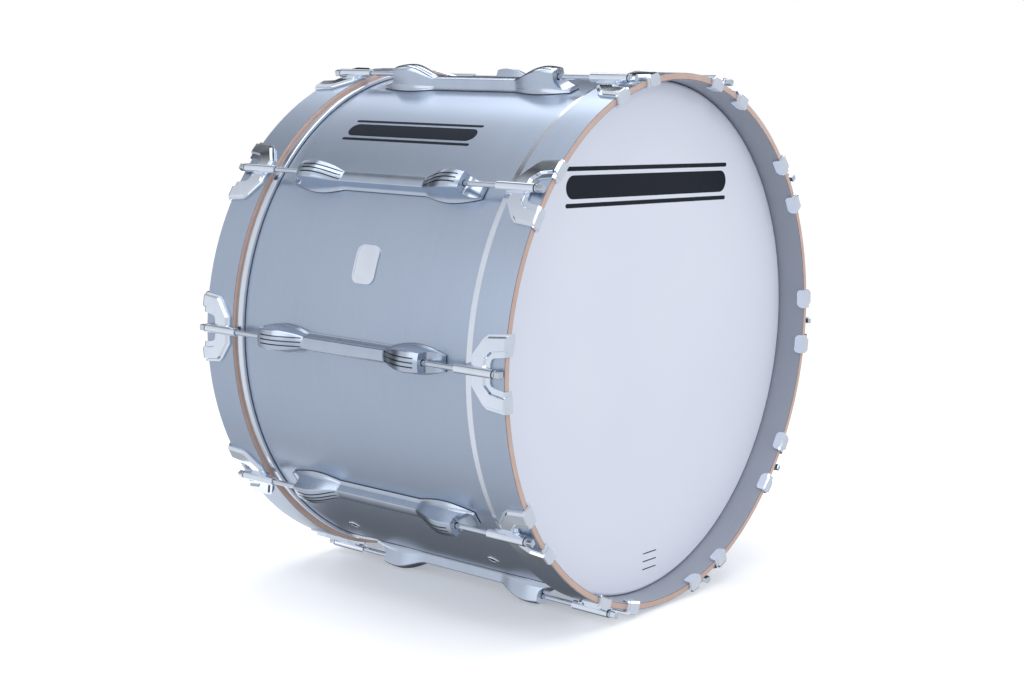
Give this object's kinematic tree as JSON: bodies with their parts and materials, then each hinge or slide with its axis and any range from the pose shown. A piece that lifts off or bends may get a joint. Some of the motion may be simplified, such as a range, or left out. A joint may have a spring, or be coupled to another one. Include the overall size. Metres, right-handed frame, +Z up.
{
  "type": "marching bass drum",
  "caption": "Two-headed marching bass drum with wooden hoops, claws, key rods and long double-ended lugs.",
  "frame": {"origin": "centre of the drum, on its axis, midway between the heads", "axes": "+Y along the drum's axis towards the rear head, +Z up, front head at -Y"},
  "size_m": [0.6094, 0.4278, 0.5826],
  "materials": {
    "shell_wood": "bare maple plies, sanded",
    "hoop_wood": "clear satin wood edge",
    "silver_covering": "silver covering with a fine vertical brushed grain under gloss",
    "grey_lining": "plain grey satin lining",
    "head_film": "smooth white polyester film",
    "flesh_hoop_metal": "bright rolled aluminium",
    "lug_casting": "satin chrome on a die casting",
    "chrome": "bright chrome",
    "rod_steel": "chromed steel rod",
    "plated_steel": "zinc plated steel",
    "brass_nut": "turned brass",
    "nylon": "black nylon",
    "gasket": "thin black gasket",
    "badge_metal": "satin plate with a raised rim"
  },
  "bodies": {
    "shell": {"shell": "shell_wood", "shell_wrap": "silver_covering", "lug_01": "lug_casting", "lug_02": "lug_casting", "lug_03": "lug_casting", "lug_04": "lug_casting", "lug_05": "lug_casting", "lug_06": "lug_casting", "lug_07": "lug_casting", "lug_08": "lug_casting", "lug_09": "lug_casting", "lug_10": "lug_casting", "lug_gaskets": "gasket", "lug_screws": "plated_steel", "lug_washers": "plated_steel", "swivel_nuts": "brass_nut", "nut_retainers": "nylon", "badge": "badge_metal", "front_vent": "chrome", "rear_vent": "chrome"},
    "front_hoop": {"front_counterhoop": "hoop_wood", "front_hoop_covering": "silver_covering", "front_hoop_lining": "grey_lining", "front_head": "head_film", "front_flesh_hoop": "flesh_hoop_metal", "front_claws": "chrome", "front_rod_washers": "nylon"},
    "rear_hoop": {"rear_counterhoop": "hoop_wood", "rear_hoop_covering": "silver_covering", "rear_hoop_lining": "grey_lining", "rear_head": "head_film", "rear_flesh_hoop": "flesh_hoop_metal", "rear_claws": "chrome", "rear_rod_washers": "nylon"},
    "front_rod_01": {"front_rod_01": "rod_steel"},
    "front_rod_02": {"front_rod_02": "rod_steel"},
    "front_rod_03": {"front_rod_03": "rod_steel"},
    "front_rod_04": {"front_rod_04": "rod_steel"},
    "front_rod_05": {"front_rod_05": "rod_steel"},
    "front_rod_06": {"front_rod_06": "rod_steel"},
    "front_rod_07": {"front_rod_07": "rod_steel"},
    "front_rod_08": {"front_rod_08": "rod_steel"},
    "front_rod_09": {"front_rod_09": "rod_steel"},
    "front_rod_10": {"front_rod_10": "rod_steel"},
    "rear_rod_01": {"rear_rod_01": "rod_steel"},
    "rear_rod_02": {"rear_rod_02": "rod_steel"},
    "rear_rod_03": {"rear_rod_03": "rod_steel"},
    "rear_rod_04": {"rear_rod_04": "rod_steel"},
    "rear_rod_05": {"rear_rod_05": "rod_steel"},
    "rear_rod_06": {"rear_rod_06": "rod_steel"},
    "rear_rod_07": {"rear_rod_07": "rod_steel"},
    "rear_rod_08": {"rear_rod_08": "rod_steel"},
    "rear_rod_09": {"rear_rod_09": "rod_steel"},
    "rear_rod_10": {"rear_rod_10": "rod_steel"}
  },
  "joints": [
    {"name": "front_tension", "type": "slide", "parent": "shell", "child": "front_hoop", "axis": [0, -1, 0], "range_m": [0, 0.017]},
    {"name": "rear_tension", "type": "slide", "parent": "shell", "child": "rear_hoop", "axis": [0, 1, 0], "range_m": [0, 0.017]},
    {"name": "front_rod_01_turn", "type": "hinge", "parent": "front_hoop", "child": "front_rod_01", "pos_m": [-0.09091, -0.2, 0.2798], "axis": [0, -1, 0], "range_deg": [0, 5787.7]},
    {"name": "front_rod_02_turn", "type": "hinge", "parent": "front_hoop", "child": "front_rod_02", "pos_m": [-0.23801, -0.2, 0.17293], "axis": [0, -1, 0], "range_deg": [0, 5787.7]},
    {"name": "front_rod_03_turn", "type": "hinge", "parent": "front_hoop", "child": "front_rod_03", "pos_m": [-0.2942, -0.2, 0], "axis": [0, -1, 0], "range_deg": [0, 5787.7]},
    {"name": "front_rod_04_turn", "type": "hinge", "parent": "front_hoop", "child": "front_rod_04", "pos_m": [-0.23801, -0.2, -0.17293], "axis": [0, -1, 0], "range_deg": [0, 5787.7]},
    {"name": "front_rod_05_turn", "type": "hinge", "parent": "front_hoop", "child": "front_rod_05", "pos_m": [-0.09091, -0.2, -0.2798], "axis": [0, -1, 0], "range_deg": [0, 5787.7]},
    {"name": "front_rod_06_turn", "type": "hinge", "parent": "front_hoop", "child": "front_rod_06", "pos_m": [0.09091, -0.2, -0.2798], "axis": [0, -1, 0], "range_deg": [0, 5787.7]},
    {"name": "front_rod_07_turn", "type": "hinge", "parent": "front_hoop", "child": "front_rod_07", "pos_m": [0.23801, -0.2, -0.17293], "axis": [0, -1, 0], "range_deg": [0, 5787.7]},
    {"name": "front_rod_08_turn", "type": "hinge", "parent": "front_hoop", "child": "front_rod_08", "pos_m": [0.2942, -0.2, 0], "axis": [0, -1, 0], "range_deg": [0, 5787.7]},
    {"name": "front_rod_09_turn", "type": "hinge", "parent": "front_hoop", "child": "front_rod_09", "pos_m": [0.23801, -0.2, 0.17293], "axis": [0, -1, 0], "range_deg": [0, 5787.7]},
    {"name": "front_rod_10_turn", "type": "hinge", "parent": "front_hoop", "child": "front_rod_10", "pos_m": [0.09091, -0.2, 0.2798], "axis": [0, -1, 0], "range_deg": [0, 5787.7]},
    {"name": "rear_rod_01_turn", "type": "hinge", "parent": "rear_hoop", "child": "rear_rod_01", "pos_m": [-0.09091, 0.2, 0.2798], "axis": [0, 1, 0], "range_deg": [0, 5787.7]},
    {"name": "rear_rod_02_turn", "type": "hinge", "parent": "rear_hoop", "child": "rear_rod_02", "pos_m": [-0.23801, 0.2, 0.17293], "axis": [0, 1, 0], "range_deg": [0, 5787.7]},
    {"name": "rear_rod_03_turn", "type": "hinge", "parent": "rear_hoop", "child": "rear_rod_03", "pos_m": [-0.2942, 0.2, 0], "axis": [0, 1, 0], "range_deg": [0, 5787.7]},
    {"name": "rear_rod_04_turn", "type": "hinge", "parent": "rear_hoop", "child": "rear_rod_04", "pos_m": [-0.23801, 0.2, -0.17293], "axis": [0, 1, 0], "range_deg": [0, 5787.7]},
    {"name": "rear_rod_05_turn", "type": "hinge", "parent": "rear_hoop", "child": "rear_rod_05", "pos_m": [-0.09091, 0.2, -0.2798], "axis": [0, 1, 0], "range_deg": [0, 5787.7]},
    {"name": "rear_rod_06_turn", "type": "hinge", "parent": "rear_hoop", "child": "rear_rod_06", "pos_m": [0.09091, 0.2, -0.2798], "axis": [0, 1, 0], "range_deg": [0, 5787.7]},
    {"name": "rear_rod_07_turn", "type": "hinge", "parent": "rear_hoop", "child": "rear_rod_07", "pos_m": [0.23801, 0.2, -0.17293], "axis": [0, 1, 0], "range_deg": [0, 5787.7]},
    {"name": "rear_rod_08_turn", "type": "hinge", "parent": "rear_hoop", "child": "rear_rod_08", "pos_m": [0.2942, 0.2, 0], "axis": [0, 1, 0], "range_deg": [0, 5787.7]},
    {"name": "rear_rod_09_turn", "type": "hinge", "parent": "rear_hoop", "child": "rear_rod_09", "pos_m": [0.23801, 0.2, 0.17293], "axis": [0, 1, 0], "range_deg": [0, 5787.7]},
    {"name": "rear_rod_10_turn", "type": "hinge", "parent": "rear_hoop", "child": "rear_rod_10", "pos_m": [0.09091, 0.2, 0.2798], "axis": [0, 1, 0], "range_deg": [0, 5787.7]}
  ],
  "couplings": [
    {"joint": "front_rod_01_turn", "follows": "front_tension", "rad_per_m": 5936.9},
    {"joint": "front_rod_02_turn", "follows": "front_tension", "rad_per_m": 5936.9},
    {"joint": "front_rod_03_turn", "follows": "front_tension", "rad_per_m": 5936.9},
    {"joint": "front_rod_04_turn", "follows": "front_tension", "rad_per_m": 5936.9},
    {"joint": "front_rod_05_turn", "follows": "front_tension", "rad_per_m": 5936.9},
    {"joint": "front_rod_06_turn", "follows": "front_tension", "rad_per_m": 5936.9},
    {"joint": "front_rod_07_turn", "follows": "front_tension", "rad_per_m": 5936.9},
    {"joint": "front_rod_08_turn", "follows": "front_tension", "rad_per_m": 5936.9},
    {"joint": "front_rod_09_turn", "follows": "front_tension", "rad_per_m": 5936.9},
    {"joint": "front_rod_10_turn", "follows": "front_tension", "rad_per_m": 5936.9},
    {"joint": "rear_rod_01_turn", "follows": "rear_tension", "rad_per_m": 5936.9},
    {"joint": "rear_rod_02_turn", "follows": "rear_tension", "rad_per_m": 5936.9},
    {"joint": "rear_rod_03_turn", "follows": "rear_tension", "rad_per_m": 5936.9},
    {"joint": "rear_rod_04_turn", "follows": "rear_tension", "rad_per_m": 5936.9},
    {"joint": "rear_rod_05_turn", "follows": "rear_tension", "rad_per_m": 5936.9},
    {"joint": "rear_rod_06_turn", "follows": "rear_tension", "rad_per_m": 5936.9},
    {"joint": "rear_rod_07_turn", "follows": "rear_tension", "rad_per_m": 5936.9},
    {"joint": "rear_rod_08_turn", "follows": "rear_tension", "rad_per_m": 5936.9},
    {"joint": "rear_rod_09_turn", "follows": "rear_tension", "rad_per_m": 5936.9},
    {"joint": "rear_rod_10_turn", "follows": "rear_tension", "rad_per_m": 5936.9}
  ]
}
